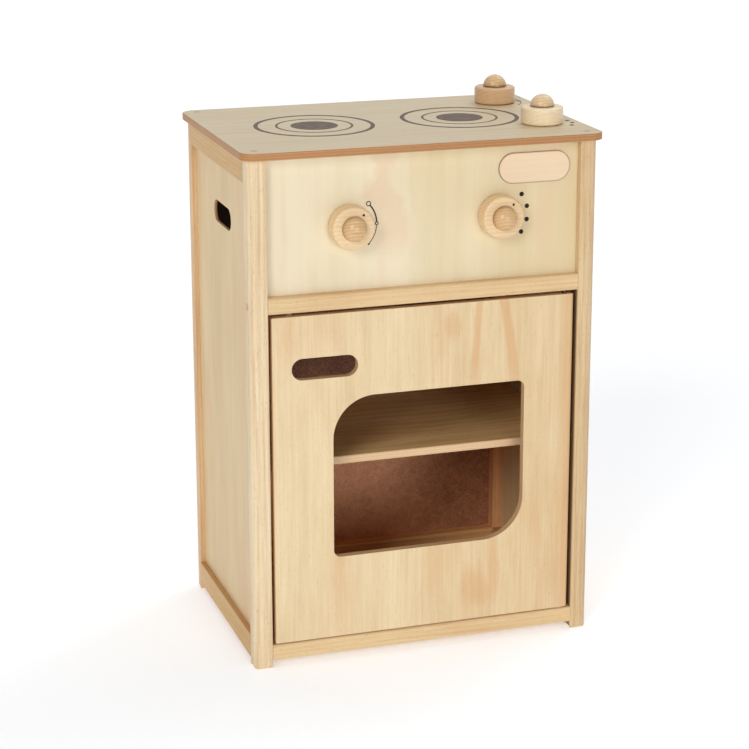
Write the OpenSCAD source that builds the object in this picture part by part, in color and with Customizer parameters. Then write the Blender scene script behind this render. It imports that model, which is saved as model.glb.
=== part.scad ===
// Wooden toy oven. Four rounded posts joined by rails carry two side panels, a back panel, a floor
// and a shelf. A board on top stands in for a hob, with printed rings. A recessed control panel and a
// door fill the front. The door has a window and a finger slot and turns on two steel pins at its
// right edge. Four turned dials, two on the panel and two on the board, spin on dome-headed pegs.
// Millimetres, +Z up, the front faces -Y. The origin is on the floor, in the middle of the outline.

/* [Frame] */
// Width over the outer faces of the posts
frame_w = 383; // [372:1:410]
// Depth over the front and rear faces of the posts
frame_d = 263; // [255:1:290]
// Height of the posts, up to the underside of the top board
post_h = 552; // [548:1:580]
// Side of the square posts
post_s = 20; // [20:0.5:23]
// Radius of the outer vertical corner of each post
post_corner_r = 10; // [5:0.5:12]
// Radius that eases the inner vertical edges of the posts
post_edge_r = 1.5; // [0.5:0.25:2]
// Radius that rounds the lower ends of the posts
post_end_r = 3.5; // [1:0.5:5]
// Height of the feet left clear below the rails
foot_h = 8; // [5:0.5:12]

/* [Rails] */
// Height of the two front rails
front_rail_h = 18; // [18:0.5:20]
// Depth of the two front rails, front to back
front_rail_d = 19; // [18:0.5:20]
// Setback of the front rails behind the face of the posts
front_rail_set = 0.5; // [0:0.25:1]
// Radius on the two front edges of the front rails and on the inner edges of the rear rails
rail_edge_r = 3; // [1:0.5:4]
// Height of the control panel that shows between the middle front rail and the top board
control_h = 144; // [130:1:155]
// Height of the side rails and the rear rails
side_rail_h = 26; // [22:1:30]
// Thickness of the rear rails, front to back
rear_rail_t = 14; // [12:0.5:15]

/* [Panels] */
// Thickness of the side panels
side_panel_t = 3.5; // [3:0.25:6]
// Setback of the side panels behind the outer face of the side rails
side_panel_set = 5.8; // [4:0.2:7]
// Thickness of the back panel
back_panel_t = 3; // [2.5:0.5:4]
// Thickness of the floor board
floor_t = 6; // [5:0.5:6.5]
// Height of the underside of the floor board above the feet
floor_z = 14; // [13:0.5:15]
// Depth of the grooves that hold the panels and the floor
groove_d = 4.5; // [4:0.1:4.8]
// Clearance on each side of a board in its groove
groove_gap = 0.1; // [0.05:0.05:0.3]
// Depth of the shallow groove in each side panel that carries the shelf
shelf_groove_d = 1.5; // [0.5:0.25:1.5]
// Thickness of the shelf
shelf_t = 9; // [6:0.5:12]
// Height of the top face of the shelf above the floor
shelf_z = 220.5; // [180:0.5:260]
// Distance of the front edge of the shelf behind the face of the posts
shelf_front = 30; // [26:1:60]

/* [Hand holes] */
// Length of the finger holes in the side panels and in the door
hand_l = 72; // [60:1:85]
// Height of the finger holes
hand_h = 23.4; // [20:0.2:28]
// Distance of the side holes below the top side rails
hand_gap = 44.3; // [20:0.1:80]
// Shift of the side holes forward from the middle of the frame
hand_fwd = 3; // [0:1:20]

/* [Top board] */
// Thickness of the top board
top_t = 8; // [6:0.5:10]
// Overhang of the top board past the posts at each side
top_over_side = 6; // [3:0.5:9]
// Overhang of the top board past the posts at the front
top_over_front = 6; // [3:0.5:9]
// Overhang of the top board past the posts at the rear
top_over_rear = 4; // [2:0.5:9]
// Radius of the corners of the top board
top_corner_r = 15; // [8:1:20]
// Radius of the dowels that hold the top board down on the posts
top_dowel_r = 3.5; // [3:0.25:4]
// Length of those dowels
top_dowel_l = 30; // [24:1:40]

/* [Control panel] */
// Thickness of the control panel
control_t = 8; // [6:0.5:9]
// Setback of the control panel behind the face of the posts
control_set = 9; // [7:0.5:9.5]
// Length of the bare name plate
plate_l = 80.5; // [70:0.5:90]
// Height of the name plate
plate_h = 32.8; // [28:0.2:36]
// Thickness of the name plate
plate_t = 1.5; // [1:0.25:2]
// Gap between the name plate and the right post
plate_side_gap = 9.2; // [5:0.1:20]
// Gap between the name plate and the top board
plate_top_gap = 10.1; // [5:0.1:12]

/* [Door] */
// Thickness of the door
door_t = 9; // [9:0.5:10]
// Setback of the door behind the face of the posts
door_set = 1.5; // [1:0.25:2.5]
// Gap between the door and the post at each side
door_gap_side = 3.5; // [3:0.1:4.5]
// Gap above the door
door_gap_top = 3.6; // [2:0.1:5]
// Gap below the door, filled at the hinge by a washer
door_gap_low = 1.2; // [1:0.1:2]
// Radius that rounds the hinge edge of the door, front and rear
door_round_r = 4.4; // [2:0.1:4.4]
// Radius that eases the free edge of the door, front and rear
door_edge_r = 1.5; // [0.5:0.25:3]
// Radius of the two corners of the door at its hinge edge
door_corner_r = 3; // [1:0.5:6]
// Width of the wood left between the window and the free edge of the door
window_left = 65.5; // [50:0.5:90]
// Width of the wood left between the window and the hinge edge of the door
window_right = 55.9; // [45:0.1:80]
// Height of the wood left below the window
window_low = 90.4; // [60:0.1:110]
// Height of the wood left above the window
window_high = 91.4; // [82:0.1:130]
// Radius of the upper left and lower right corners of the window
window_big_r = 46; // [30:1:55]
// Radius of the other two corners of the window
window_small_r = 8; // [5:0.5:14]
// Width of the wood left between the finger slot and the free edge of the door
slot_side = 21; // [15:0.5:40]
// Height of the wood left between the finger slot and the upper edge of the door
slot_top = 45.5; // [20:0.5:50]

/* [Hinge] */
// Radius of the steel hinge pins
pin_r = 2.5; // [2:0.1:2.8]
// Radial clearance of a turning pin or peg in its hole
run_gap = 0.08; // [0.05:0.01:0.1]
// Distance of the hinge axis from the right edge of the door
pin_inset = 10; // [8.5:0.5:14]
// Length of each pin inside the door
pin_in_door = 18; // [12:1:24]
// Length of each pin inside its rail
pin_in_rail = 9; // [6:0.5:12]
// Outer radius of the washer on the lower pin
washer_r = 4.3; // [4:0.1:4.5]
// Gap between the washer and the door
washer_gap = 0.2; // [0.1:0.05:0.4]

/* [Dials] */
// Diameter of the turned dials
dial_d = 45.6; // [42:0.2:50]
// Thickness of the dials
dial_h = 18.5; // [15:0.5:22]
// Radius that rounds both rims of the dials
dial_edge_r = 2.5; // [1:0.25:4]
// Gap between a dial and the board it turns on, and under the dome of its peg
dial_gap = 0.4; // [0.2:0.1:1]
// Radius of the dome of each peg
dome_r = 13.2; // [11:0.2:14]
// Height of the dome of each peg
dome_h = 12.6; // [10:0.2:13]
// Radius of the shaft of each peg
peg_r = 5; // [4:0.25:6]
// Distance of the middle of each panel dial from the post beside it
panel_dial_in = 89.5; // [75:0.5:100]
// Distance of the middle of the panel dials below the top board
panel_dial_low = 75; // [72:0.5:80]
// Distance of the middle of the top dials from the right edge of the top board
top_dial_in = 43.5; // [40:0.5:46]
// Distance of the middle of the front top dial from the front edge of the top board
front_dial_in = 74; // [60:1:78]
// Distance of the middle of the rear top dial from the rear edge of the top board
rear_dial_in = 57; // [45:1:62]
// Radius of the pointer dot on each dial
pointer_r = 1.3; // [1:0.1:2]
// Distance of the pointer dot from the middle of its dial
pointer_off = 17; // [16:0.5:18]
// Angle of the pointer dot above the right hand direction
pointer_a = 54; // [0:1:90]

/* [Printed marks] */
// Height at which the printed marks stand, as thick ink
print_t = 0.2; // [0.1:0.05:0.4]
// Distance of the middle of each burner from the side edge of the top board beside it
burner_in = 115; // [112:0.5:120]
// Shift of the burners forward from the middle of the frame
burner_fwd = 1; // [0:0.5:6]
// Gap between the two burners
burner_gap = 35; // [30:1:50]
// Width of the outer burner ring
burner_w = 4.6; // [3:0.2:6]
// Distance from the outer edge of the outer ring to the outer edge of the middle ring
ring_step = 23.2; // [16:0.2:26]
// Width of the middle burner ring
inner_ring_w = 2.4; // [1.5:0.1:3.5]
// Distance from the outer edge of the middle ring to the edge of the solid disc
disc_step = 16.4; // [10:0.2:20]
// Radius of the circle that the dial dots stand on
dots_r = 33.2; // [30:0.2:35]
// Radius of one dial dot
dot_r = 2.5; // [1.5:0.1:3]
// Angle between neighbouring dial dots
dot_step = 25; // [20:1:30]
// Radius of the dial arc
arc_r = 30; // [28:0.2:32]
// Half of the angle that the dial arc spans
arc_half = 45; // [30:1:60]
// Width of the thick upper half of the dial arc
arc_thick_w = 1.5; // [1:0.1:2]
// Width of the thin lower half of the dial arc
arc_thin_w = 0.7; // [0.5:0.1:1]
// Outer radius of the small ring at the upper end of the dial arc
ring_mark_r = 2.7; // [2:0.1:3]
// Outer radius of the smaller ring at the middle of the dial arc
mid_mark_r = 2; // [1.5:0.1:2.5]
// Width of the line of both small rings
ring_mark_w = 0.9; // [0.6:0.1:1.2]
// Radius of the dot at the lower end of the dial arc
arc_dot_r = 1.2; // [0.8:0.1:1.5]

/* [Fixings] */
// Radius of the dowels through the posts into the middle front rail
rail_dowel_r = 4; // [3:0.1:4]
// Length of those dowels
rail_dowel_l = 28; // [25:1:28]
// Clearance around a glued dowel, a peg, a nail or a pin that is fixed in the wood
glue_gap = 0.05; // [0.02:0.01:0.1]
// Radius of the shanks of the back panel nails
nail_r = 0.8; // [0.6:0.1:1]
// Length of the shanks of the back panel nails
nail_l = 12; // [10:1:13]
// Radius of the heads of the nails
nail_head_r = 2; // [1.5:0.1:2]
// Thickness of the heads of the nails
nail_head_t = 0.8; // [0.5:0.1:1]
// Distance of the nails from the upper and lower edges of the back panel
nail_edge = 16; // [14:1:18]
// Number of nails down each side of the back panel
nail_count = 4; // [3:1:6]
// Distance of the nails in the rear rails left and right of the middle
nail_rail_x = 57; // [40:1:90]
// Radius of the peg that stops the door
stop_r = 3; // [2.5:0.5:3.5]
// Distance of the stop peg from the free edge of the door
stop_in = 22; // [18:1:40]
// Length of the stop peg inside the middle rail
stop_in_rail = 10; // [8:0.5:11]
// Length of the stop peg below the middle rail
stop_below = 12; // [8:1:20]
// Gap between the closed door and its stop peg
stop_gap = 0.3; // [0.1:0.1:0.5]

/* [Hidden] */
$fn = 96;

// An amount by which a cutter passes through what it cuts
over = 1;
half_w = frame_w / 2;
inner_x = half_w - post_s;
rear_y = frame_d - post_s;
board_half_w = half_w + top_over_side;
top_z = post_h + top_t;
panel_out_x = half_w - side_panel_set;
panel_in_x = panel_out_x - side_panel_t;
mid_rail_top = post_h - control_h;
mid_rail_z = mid_rail_top - front_rail_h;
low_rail_top = foot_h + front_rail_h;
side_rail_top = foot_h + side_rail_h;
back_y = rear_y + rear_rail_t;
door_w = 2 * (inner_x - door_gap_side);
door_z = low_rail_top + door_gap_low;
door_h = mid_rail_z - door_gap_top - door_z;
door_mid_y = door_set + door_t / 2;
window_w = door_w - window_left - window_right;
window_h = door_h - window_low - window_high;
slot_x = door_w / 2 - slot_side - hand_l / 2;
slot_z = door_z + door_h - slot_top - hand_h / 2;
stop_x = door_w / 2 - stop_in;
stop_y = door_set + door_t + stop_gap + stop_r;
hand_z = post_h - side_rail_h - hand_gap - hand_h / 2;
plate_x = inner_x - plate_side_gap - plate_l / 2;
plate_z = post_h - plate_top_gap - plate_h / 2;
panel_dial_x = inner_x - panel_dial_in;
panel_dial_z = post_h - panel_dial_low;
top_dial_x = board_half_w - top_dial_in;
front_dial_y = front_dial_in - top_over_front;
rear_dial_y = frame_d + top_over_rear - rear_dial_in;
burner_x = board_half_w - burner_in;
burner_y = frame_d / 2 - burner_fwd;
burner_r = burner_x - burner_gap / 2;
inner_ring_r = burner_r - ring_step;
disc_r = inner_ring_r - disc_step;
ring_mark_a = 2 * asin((ring_mark_r - ring_mark_w / 2) / (2 * arc_r));
mid_mark_a = 2 * asin((mid_mark_r - ring_mark_w / 2) / (2 * arc_r));
pin_x = door_w / 2 - pin_inset;
dial_r = dial_d / 2;
bore_r = peg_r + run_gap;
panel_face_y = control_set;
dome_sphere_r = (dome_r * dome_r + dome_h * dome_h) / (2 * dome_h);
dial_face = dial_gap + dial_h;
dome_base = dial_face + dial_gap;
front_most = panel_face_y - dome_base - dome_h;
mid_y = (front_most + frame_d + top_over_rear) / 2;
nail_x = inner_x + groove_d / 2;
nail_low_z = foot_h + nail_edge;
nail_step_z = (post_h - nail_edge - nail_low_z) / (nail_count - 1);

// Shifts from the frame, whose front face is at y = 0, to the middle of the outline
module placed() {
  translate([0, -mid_y, 0])
    children();
}

// A rectangle from the origin, with radii for its lower left, lower right, upper right, upper left
module round_rect(w, h, r) {
  polygon(concat(
    r[0] > 0 ? [[0, r[0]], [r[0], 0]] : [[0, 0]],
    r[1] > 0 ? [[w - r[1], 0], [w, r[1]]] : [[w, 0]],
    r[2] > 0 ? [[w, h - r[2]], [w - r[2], h]] : [[w, h]],
    r[3] > 0 ? [[r[3], h], [0, h - r[3]]] : [[0, h]]));
  if (r[0] > 0)
    translate([r[0], r[0]])
      circle(r = r[0]);
  if (r[1] > 0)
    translate([w - r[1], r[1]])
      circle(r = r[1]);
  if (r[2] > 0)
    translate([w - r[2], h - r[2]])
      circle(r = r[2]);
  if (r[3] > 0)
    translate([r[3], h - r[3]])
      circle(r = r[3]);
}

// A slot with round ends, centred
module stadium(l, h) {
  square([l - h, h], center = true);
  translate([-(l - h) / 2, 0])
    circle(d = h);
  translate([(l - h) / 2, 0])
    circle(d = h);
}

// Repeats its children at each nail, on the rear face of the back panel
module at_nails() {
  translate([0, back_y + back_panel_t, nail_low_z]) {
    for (x = [-nail_x, nail_x], i = [0:nail_count - 1])
      translate([x, 0, i * nail_step_z])
        children();
    for (x = [-nail_rail_x, nail_rail_x], i = [0, nail_count - 1])
      translate([x, 0, i * nail_step_z])
        children();
  }
}

// Bores for the nails
module nail_bores() {
  at_nails()
    translate([0, over, 0])
      rotate([90, 0, 0])
        cylinder(r = nail_r + glue_gap, h = nail_l + over);
}

// Stands a flat outline up in the XZ plane, from y to y + t
module stand_xz(y, t) {
  translate([0, y + t, 0])
    rotate([90, 0, 0])
      linear_extrude(height = t)
        children();
}

// Stands a flat outline, drawn as depth by height, up in the YZ plane, from x to x + t
module stand_yz(x, t) {
  translate([x, 0, 0])
    rotate([90, 0, 90])
      linear_extrude(height = t)
        children();
}

// Plan of the front left post: its outer corner is at the lower left
module post_plan() {
  round_rect(post_s, post_s, [post_corner_r, post_edge_r, post_edge_r, post_edge_r]);
}

// The front left post before its grooves: the lower ends are rounded on all four sides
module post_blank() {
  intersection() {
    linear_extrude(height = post_h)
      post_plan();
    stand_xz(0, post_s)
      round_rect(post_s, post_h, [post_end_r, post_end_r, 0, 0]);
    stand_yz(0, post_s)
      round_rect(post_s, post_h, [post_end_r, post_end_r, 0, 0]);
  }
}

// Groove for a side panel in a post, as seen in the front left post
module side_panel_groove() {
  groove_h = post_h - side_rail_h - side_rail_top + 2 * groove_d;
  translate([side_panel_set - groove_gap, post_s - groove_d, side_rail_top - groove_d])
    cube([side_panel_t + 2 * groove_gap, groove_d + over, groove_h]);
}

// Bore for one top board dowel, from z upwards
module top_dowel_bore(z) {
  translate([post_s / 2, post_s / 2, z])
    cylinder(r = top_dowel_r + glue_gap, h = top_dowel_l + over);
}

module front_post_left() {
  difference() {
    post_blank();
    side_panel_groove();
    translate([post_s - groove_d, control_set - groove_gap, mid_rail_top - groove_d])
      cube([groove_d + over, control_t + 2 * groove_gap, post_h]);
    top_dowel_bore(top_z - top_dowel_l);
    translate([-over, post_s / 2, mid_rail_z + front_rail_h / 2])
      rotate([0, 90, 0])
        cylinder(r = rail_dowel_r + glue_gap, h = post_s + 2 * over);
  }
}

module rear_post_left() {
  translate([0, frame_d, 0])
    mirror([0, 1, 0])
      difference() {
        post_blank();
        side_panel_groove();
        translate([post_s - groove_d, -over, foot_h])
          cube([groove_d + over, post_s - rear_rail_t + over, post_h]);
        top_dowel_bore(top_z - top_dowel_l);
      }
}

module front_left_post() {
  color("burlywood")
    translate([-half_w, 0, 0])
      front_post_left();
}

module front_right_post() {
  color("burlywood")
    mirror([1, 0, 0])
      translate([-half_w, 0, 0])
        front_post_left();
}

module rear_left_post() {
  color("burlywood")
    difference() {
      translate([-half_w, 0, 0])
        rear_post_left();
      nail_bores();
    }
}

module rear_right_post() {
  color("burlywood")
    mirror([1, 0, 0])
      rear_left_post();
}

// A front rail between the posts, with its two front edges rounded
module front_rail_blank(z) {
  translate([-inner_x, front_rail_set, z])
    stand_yz(0, 2 * inner_x)
      round_rect(front_rail_d, front_rail_h, [rail_edge_r, 0, 0, rail_edge_r]);
}

module middle_front_rail() {
  color("tan")
    difference() {
      front_rail_blank(mid_rail_z);
      translate([-inner_x - over, control_set - groove_gap, mid_rail_top - groove_d])
        cube([2 * (inner_x + over), control_t + 2 * groove_gap, groove_d + over]);
      translate([pin_x, door_mid_y, mid_rail_z - over])
        cylinder(r = pin_r + run_gap, h = pin_in_rail + 2 * over);
      translate([-stop_x, stop_y, mid_rail_z - over])
        cylinder(r = stop_r + glue_gap, h = stop_in_rail + over);
      for (side = [-1, 1])
        translate([side * (half_w - rail_dowel_l / 2), post_s / 2, mid_rail_z + front_rail_h / 2])
          rotate([0, 90, 0])
            cylinder(r = rail_dowel_r + glue_gap, h = rail_dowel_l + over, center = true);
    }
}

module bottom_front_rail() {
  color("tan")
    difference() {
      front_rail_blank(foot_h);
      translate([-inner_x - over, front_rail_set + front_rail_d - groove_d, floor_z - groove_gap])
        cube([2 * (inner_x + over), groove_d + over, floor_t + 2 * groove_gap]);
      translate([pin_x, door_mid_y, low_rail_top - pin_in_rail - over])
        cylinder(r = pin_r + run_gap, h = pin_in_rail + 2 * over);
    }
}

// A side rail from post to post on the left, with a groove for the side panel in one edge
module side_rail_left(z, groove_z) {
  difference() {
    translate([-half_w, post_s, z])
      cube([post_s, frame_d - 2 * post_s, side_rail_h]);
    translate([-panel_out_x - groove_gap, post_s - over, groove_z])
      cube([side_panel_t + 2 * groove_gap, frame_d - 2 * post_s + 2 * over, groove_d + over]);
  }
}

module bottom_side_rail_left() {
  difference() {
    side_rail_left(foot_h, side_rail_top - groove_d);
    translate([-inner_x - groove_d, post_s - over, floor_z - groove_gap])
      cube([groove_d + over, frame_d - 2 * post_s + 2 * over, floor_t + 2 * groove_gap]);
  }
}

module left_top_side_rail() {
  color("burlywood")
    side_rail_left(post_h - side_rail_h, post_h - side_rail_h - over);
}

module left_bottom_side_rail() {
  color("burlywood")
    bottom_side_rail_left();
}

module right_top_side_rail() {
  color("burlywood")
    mirror([1, 0, 0])
      side_rail_left(post_h - side_rail_h, post_h - side_rail_h - over);
}

module right_bottom_side_rail() {
  color("burlywood")
    mirror([1, 0, 0])
      bottom_side_rail_left();
}

// A rear rail between the posts, with the edge that shows inside the oven rounded
module rear_rail_blank(z, low_r, high_r) {
  translate([-inner_x, rear_y, z])
    stand_yz(0, 2 * inner_x)
      round_rect(rear_rail_t, side_rail_h, [low_r, 0, 0, high_r]);
}

module top_rear_rail() {
  color("tan")
    difference() {
      rear_rail_blank(post_h - side_rail_h, rail_edge_r, 0);
      nail_bores();
    }
}

module bottom_rear_rail() {
  color("tan")
    difference() {
      rear_rail_blank(foot_h, 0, rail_edge_r);
      translate([-inner_x - over, rear_y - over, floor_z - groove_gap])
        cube([2 * (inner_x + over), groove_d + over, floor_t + 2 * groove_gap]);
      nail_bores();
    }
}

// The left side panel: it stands in grooves all round, less the groove clearance at each edge
module side_panel_left() {
  panel_y = post_s - groove_d + groove_gap;
  panel_z = side_rail_top - groove_d + groove_gap;
  panel_top = post_h - side_rail_h + groove_d - groove_gap;
  difference() {
    translate([-panel_out_x, panel_y, panel_z])
      cube([side_panel_t, frame_d - 2 * panel_y, panel_top - panel_z]);
    translate([0, frame_d / 2 - hand_fwd, hand_z])
      stand_yz(-panel_out_x - over, side_panel_t + 2 * over)
        stadium(hand_l, hand_h);
    translate([-panel_in_x - shelf_groove_d, shelf_front - groove_gap, shelf_z - shelf_t - groove_gap])
      cube([shelf_groove_d + over, frame_d, shelf_t + 2 * groove_gap]);
  }
}

module left_side_panel() {
  color("wheat")
    side_panel_left();
}

module right_side_panel() {
  color("wheat")
    mirror([1, 0, 0])
      side_panel_left();
}

module back_panel() {
  back_half = inner_x + groove_d - groove_gap;
  color("saddlebrown")
    difference() {
      translate([-back_half, back_y, foot_h + groove_gap])
        cube([2 * back_half, back_panel_t, post_h - foot_h - 2 * groove_gap]);
      nail_bores();
    }
}

// The floor board, notched at its corners to clear the posts
module floor_board() {
  front_y = front_rail_set + front_rail_d - groove_d + groove_gap;
  depth = rear_y + groove_d - groove_gap - front_y;
  side_x = inner_x + groove_d - groove_gap;
  color("wheat")
    translate([0, 0, floor_z]) {
      translate([-inner_x + groove_gap, front_y, 0])
        cube([2 * (inner_x - groove_gap), depth, floor_t]);
      translate([-side_x, post_s + groove_gap, 0])
        cube([2 * side_x, frame_d - 2 * post_s - 2 * groove_gap, floor_t]);
    }
}

module shelf() {
  half = panel_in_x + shelf_groove_d - groove_gap;
  color("wheat")
    translate([-half, shelf_front, shelf_z - shelf_t])
      cube([2 * half, rear_y - shelf_front - groove_gap, shelf_t]);
}

module control_panel() {
  half = inner_x + groove_d - groove_gap;
  low = mid_rail_top - groove_d + groove_gap;
  color("cornsilk")
    difference() {
      translate([-half, control_set, low])
        cube([2 * half, control_t, post_h - low]);
      for (side = [-1, 1])
        translate([side * panel_dial_x, control_set - over, panel_dial_z])
          rotate([-90, 0, 0])
            cylinder(r = peg_r + glue_gap, h = control_t + 2 * over);
    }
}

module top_board() {
  board_w = 2 * board_half_w;
  board_d = frame_d + top_over_front + top_over_rear;
  color("tan")
    difference() {
      translate([-board_half_w, -top_over_front, post_h])
        linear_extrude(height = top_t)
          round_rect(board_w, board_d, [top_corner_r, top_corner_r, top_corner_r, top_corner_r]);
      for (x = [-half_w, inner_x], y = [0, rear_y])
        translate([x, y, 0])
          top_dowel_bore(post_h - over);
      for (y = [front_dial_y, rear_dial_y])
        translate([top_dial_x, y, post_h - over])
          cylinder(r = peg_r + glue_gap, h = top_t + 2 * over);
    }
}

module name_plate() {
  color("antiquewhite")
    translate([plate_x, 0, plate_z])
      stand_xz(control_set - plate_t, plate_t)
        stadium(plate_l, plate_h);
}

// Outline of the window: two corners are wide and two are tight
module window_outline() {
  translate([window_left - door_w / 2, door_z + window_low])
    round_rect(window_w, window_h, [window_small_r, window_big_r, window_small_r, window_big_r]);
}

module door() {
  color("wheat")
    difference() {
      intersection() {
        stand_xz(door_set, door_t)
          difference() {
            translate([-door_w / 2, door_z])
              round_rect(door_w, door_h, [door_edge_r, door_corner_r, door_corner_r, door_edge_r]);
            window_outline();
            translate([-slot_x, slot_z])
              stadium(hand_l, hand_h);
          }
        translate([-door_w / 2, door_set, door_z])
          linear_extrude(height = door_h)
            round_rect(door_w, door_t, [door_edge_r, door_round_r, door_round_r, door_edge_r]);
      }
      translate([pin_x, door_mid_y, door_z - over])
        cylinder(r = pin_r + glue_gap, h = pin_in_door + over);
      translate([pin_x, door_mid_y, door_z + door_h - pin_in_door])
        cylinder(r = pin_r + glue_gap, h = pin_in_door + over);
    }
}

module upper_hinge_pin() {
  color("silver")
    translate([pin_x, door_mid_y, door_z + door_h - pin_in_door])
      cylinder(r = pin_r, h = pin_in_door + door_gap_top + pin_in_rail);
}

module lower_hinge_pin() {
  color("silver")
    translate([pin_x, door_mid_y, door_z + pin_in_door])
      mirror([0, 0, 1])
        cylinder(r = pin_r, h = pin_in_door + door_gap_low + pin_in_rail);
}

module hinge_washer() {
  washer_t = door_gap_low - washer_gap;
  color("whitesmoke")
    translate([pin_x, door_mid_y, low_rail_top])
      difference() {
        cylinder(r = washer_r, h = washer_t);
        translate([0, 0, -over])
          cylinder(r = pin_r + run_gap, h = washer_t + 2 * over);
      }
}

// The stop peg hangs below the middle rail, behind the free edge of the closed door
module door_stop_peg() {
  color("burlywood")
    translate([-stop_x, stop_y, mid_rail_z - stop_below])
      cylinder(r = stop_r, h = stop_below + stop_in_rail);
}

// A dial with its back on z = dial_gap and its axis on Z
module dial_shape() {
  translate([0, 0, dial_gap])
    rotate_extrude()
      difference() {
        round_rect(dial_r, dial_h, [0, dial_edge_r, dial_edge_r, 0]);
        translate([-over, -over])
          square([bore_r + over, dial_h + 2 * over]);
      }
}

// A peg: its shaft fills the board of the stated thickness and carries the dome above the dial
module peg_shape(board_t) {
  translate([0, 0, -board_t])
    cylinder(r = peg_r, h = board_t + dome_base);
  translate([0, 0, dome_base])
    intersection() {
      translate([0, 0, dome_h - dome_sphere_r])
        sphere(r = dome_sphere_r);
      cylinder(r = dome_r + over, h = dome_h + over);
    }
}

// A pointer dot on the face of a dial
module pointer_shape() {
  rotate([0, 0, pointer_a])
    translate([pointer_off, 0, dial_face])
      cylinder(r = pointer_r, h = print_t);
}

// Places a dial, peg or mark on the control panel, at a distance right of the middle
module on_panel(x) {
  translate([x, panel_face_y, panel_dial_z])
    rotate([90, 0, 0])
      children();
}

// Places a dial, peg or mark on the top board
module on_top(y) {
  translate([top_dial_x, y, top_z])
    children();
}

module left_panel_dial() {
  color("navajowhite")
    on_panel(-panel_dial_x)
      dial_shape();
}

module right_panel_dial() {
  color("navajowhite")
    on_panel(panel_dial_x)
      dial_shape();
}

module front_top_dial() {
  color("navajowhite")
    on_top(front_dial_y)
      dial_shape();
}

module rear_top_dial() {
  color("navajowhite")
    on_top(rear_dial_y)
      dial_shape();
}

module left_panel_pointer() {
  color("black")
    on_panel(-panel_dial_x)
      pointer_shape();
}

module right_panel_pointer() {
  color("black")
    on_panel(panel_dial_x)
      pointer_shape();
}

module front_top_pointer() {
  color("black")
    on_top(front_dial_y)
      pointer_shape();
}

module rear_top_pointer() {
  color("black")
    on_top(rear_dial_y)
      pointer_shape();
}

module left_panel_peg() {
  color("peru")
    on_panel(-panel_dial_x)
      peg_shape(control_t);
}

module right_panel_peg() {
  color("peru")
    on_panel(panel_dial_x)
      peg_shape(control_t);
}

module front_top_peg() {
  color("peru")
    on_top(front_dial_y)
      peg_shape(top_t);
}

module rear_top_peg() {
  color("peru")
    on_top(rear_dial_y)
      peg_shape(top_t);
}

// A flat ring that stands print_t high
module ring_mark(outer_r, w) {
  difference() {
    cylinder(r = outer_r, h = print_t);
    translate([0, 0, -over])
      cylinder(r = outer_r - w, h = print_t + 2 * over);
  }
}

// The two rings and the disc of one burner
module burner_print(x) {
  translate([x, burner_y, top_z]) {
    ring_mark(burner_r, burner_w);
    ring_mark(inner_ring_r, inner_ring_w);
    cylinder(r = disc_r, h = print_t);
  }
}

module left_burner_print() {
  color("dimgray")
    burner_print(-burner_x);
}

module right_burner_print() {
  color("dimgray")
    burner_print(burner_x);
}

// A wedge of the dial circle between two angles, as a cutter
module wedge(a0, a1) {
  reach = 2 * arc_r;
  linear_extrude(height = print_t)
    polygon([[0, 0], [reach * cos(a0), reach * sin(a0)], [reach * cos(a1), reach * sin(a1)]]);
}

// The level mark beside a dial: a small ring, a thick arc, a smaller ring, a thin arc and a dot
module arc_mark() {
  intersection() {
    ring_mark(arc_r + arc_thick_w / 2, arc_thick_w);
    wedge(mid_mark_a, arc_half - ring_mark_a);
  }
  intersection() {
    ring_mark(arc_r + arc_thin_w / 2, arc_thin_w);
    wedge(-arc_half, -mid_mark_a);
  }
  rotate([0, 0, arc_half])
    translate([arc_r, 0, 0])
      ring_mark(ring_mark_r, ring_mark_w);
  translate([arc_r, 0, 0])
    ring_mark(mid_mark_r, ring_mark_w);
  rotate([0, 0, -arc_half])
    translate([arc_r, 0, 0])
      cylinder(r = arc_dot_r, h = print_t);
}

// Four dots that fan out beside a dial
module dots_mark() {
  for (i = [-1.5, -0.5, 0.5, 1.5])
    rotate([0, 0, i * dot_step])
      translate([dots_r, 0, 0])
        cylinder(r = dot_r, h = print_t);
}

module left_dial_arc() {
  color("black")
    on_panel(-panel_dial_x)
      arc_mark();
}

module right_dial_dots() {
  color("black")
    on_panel(panel_dial_x)
      dots_mark();
}

module rear_dial_arc() {
  color("black")
    on_top(rear_dial_y)
      arc_mark();
}

module front_dial_dots() {
  color("black")
    on_top(front_dial_y)
      dots_mark();
}

module top_board_dowels() {
  color("darkkhaki")
    for (x = [-half_w, inner_x], y = [0, rear_y])
      translate([x + post_s / 2, y + post_s / 2, top_z - top_dowel_l])
        cylinder(r = top_dowel_r, h = top_dowel_l);
}

// The dowels end flush with the rounded corners of the posts
module rail_dowels() {
  color("darkkhaki")
    for (side = [0, 1])
      mirror([side, 0, 0])
        translate([-half_w, 0, 0])
          intersection() {
            translate([0, post_s / 2, mid_rail_z + front_rail_h / 2])
              rotate([0, 90, 0])
                cylinder(r = rail_dowel_r, h = rail_dowel_l);
            translate([0, 0, mid_rail_z])
              linear_extrude(height = front_rail_h)
                round_rect(frame_w, post_s, [post_corner_r, 0, 0, 0]);
          }
}

// Small nails down both sides and along the top and bottom of the back panel
module back_panel_nails() {
  color("silver")
    at_nails() {
      rotate([90, 0, 0])
        cylinder(r = nail_r, h = nail_l);
      rotate([-90, 0, 0])
        cylinder(r = nail_head_r, h = nail_head_t);
    }
}

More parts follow.
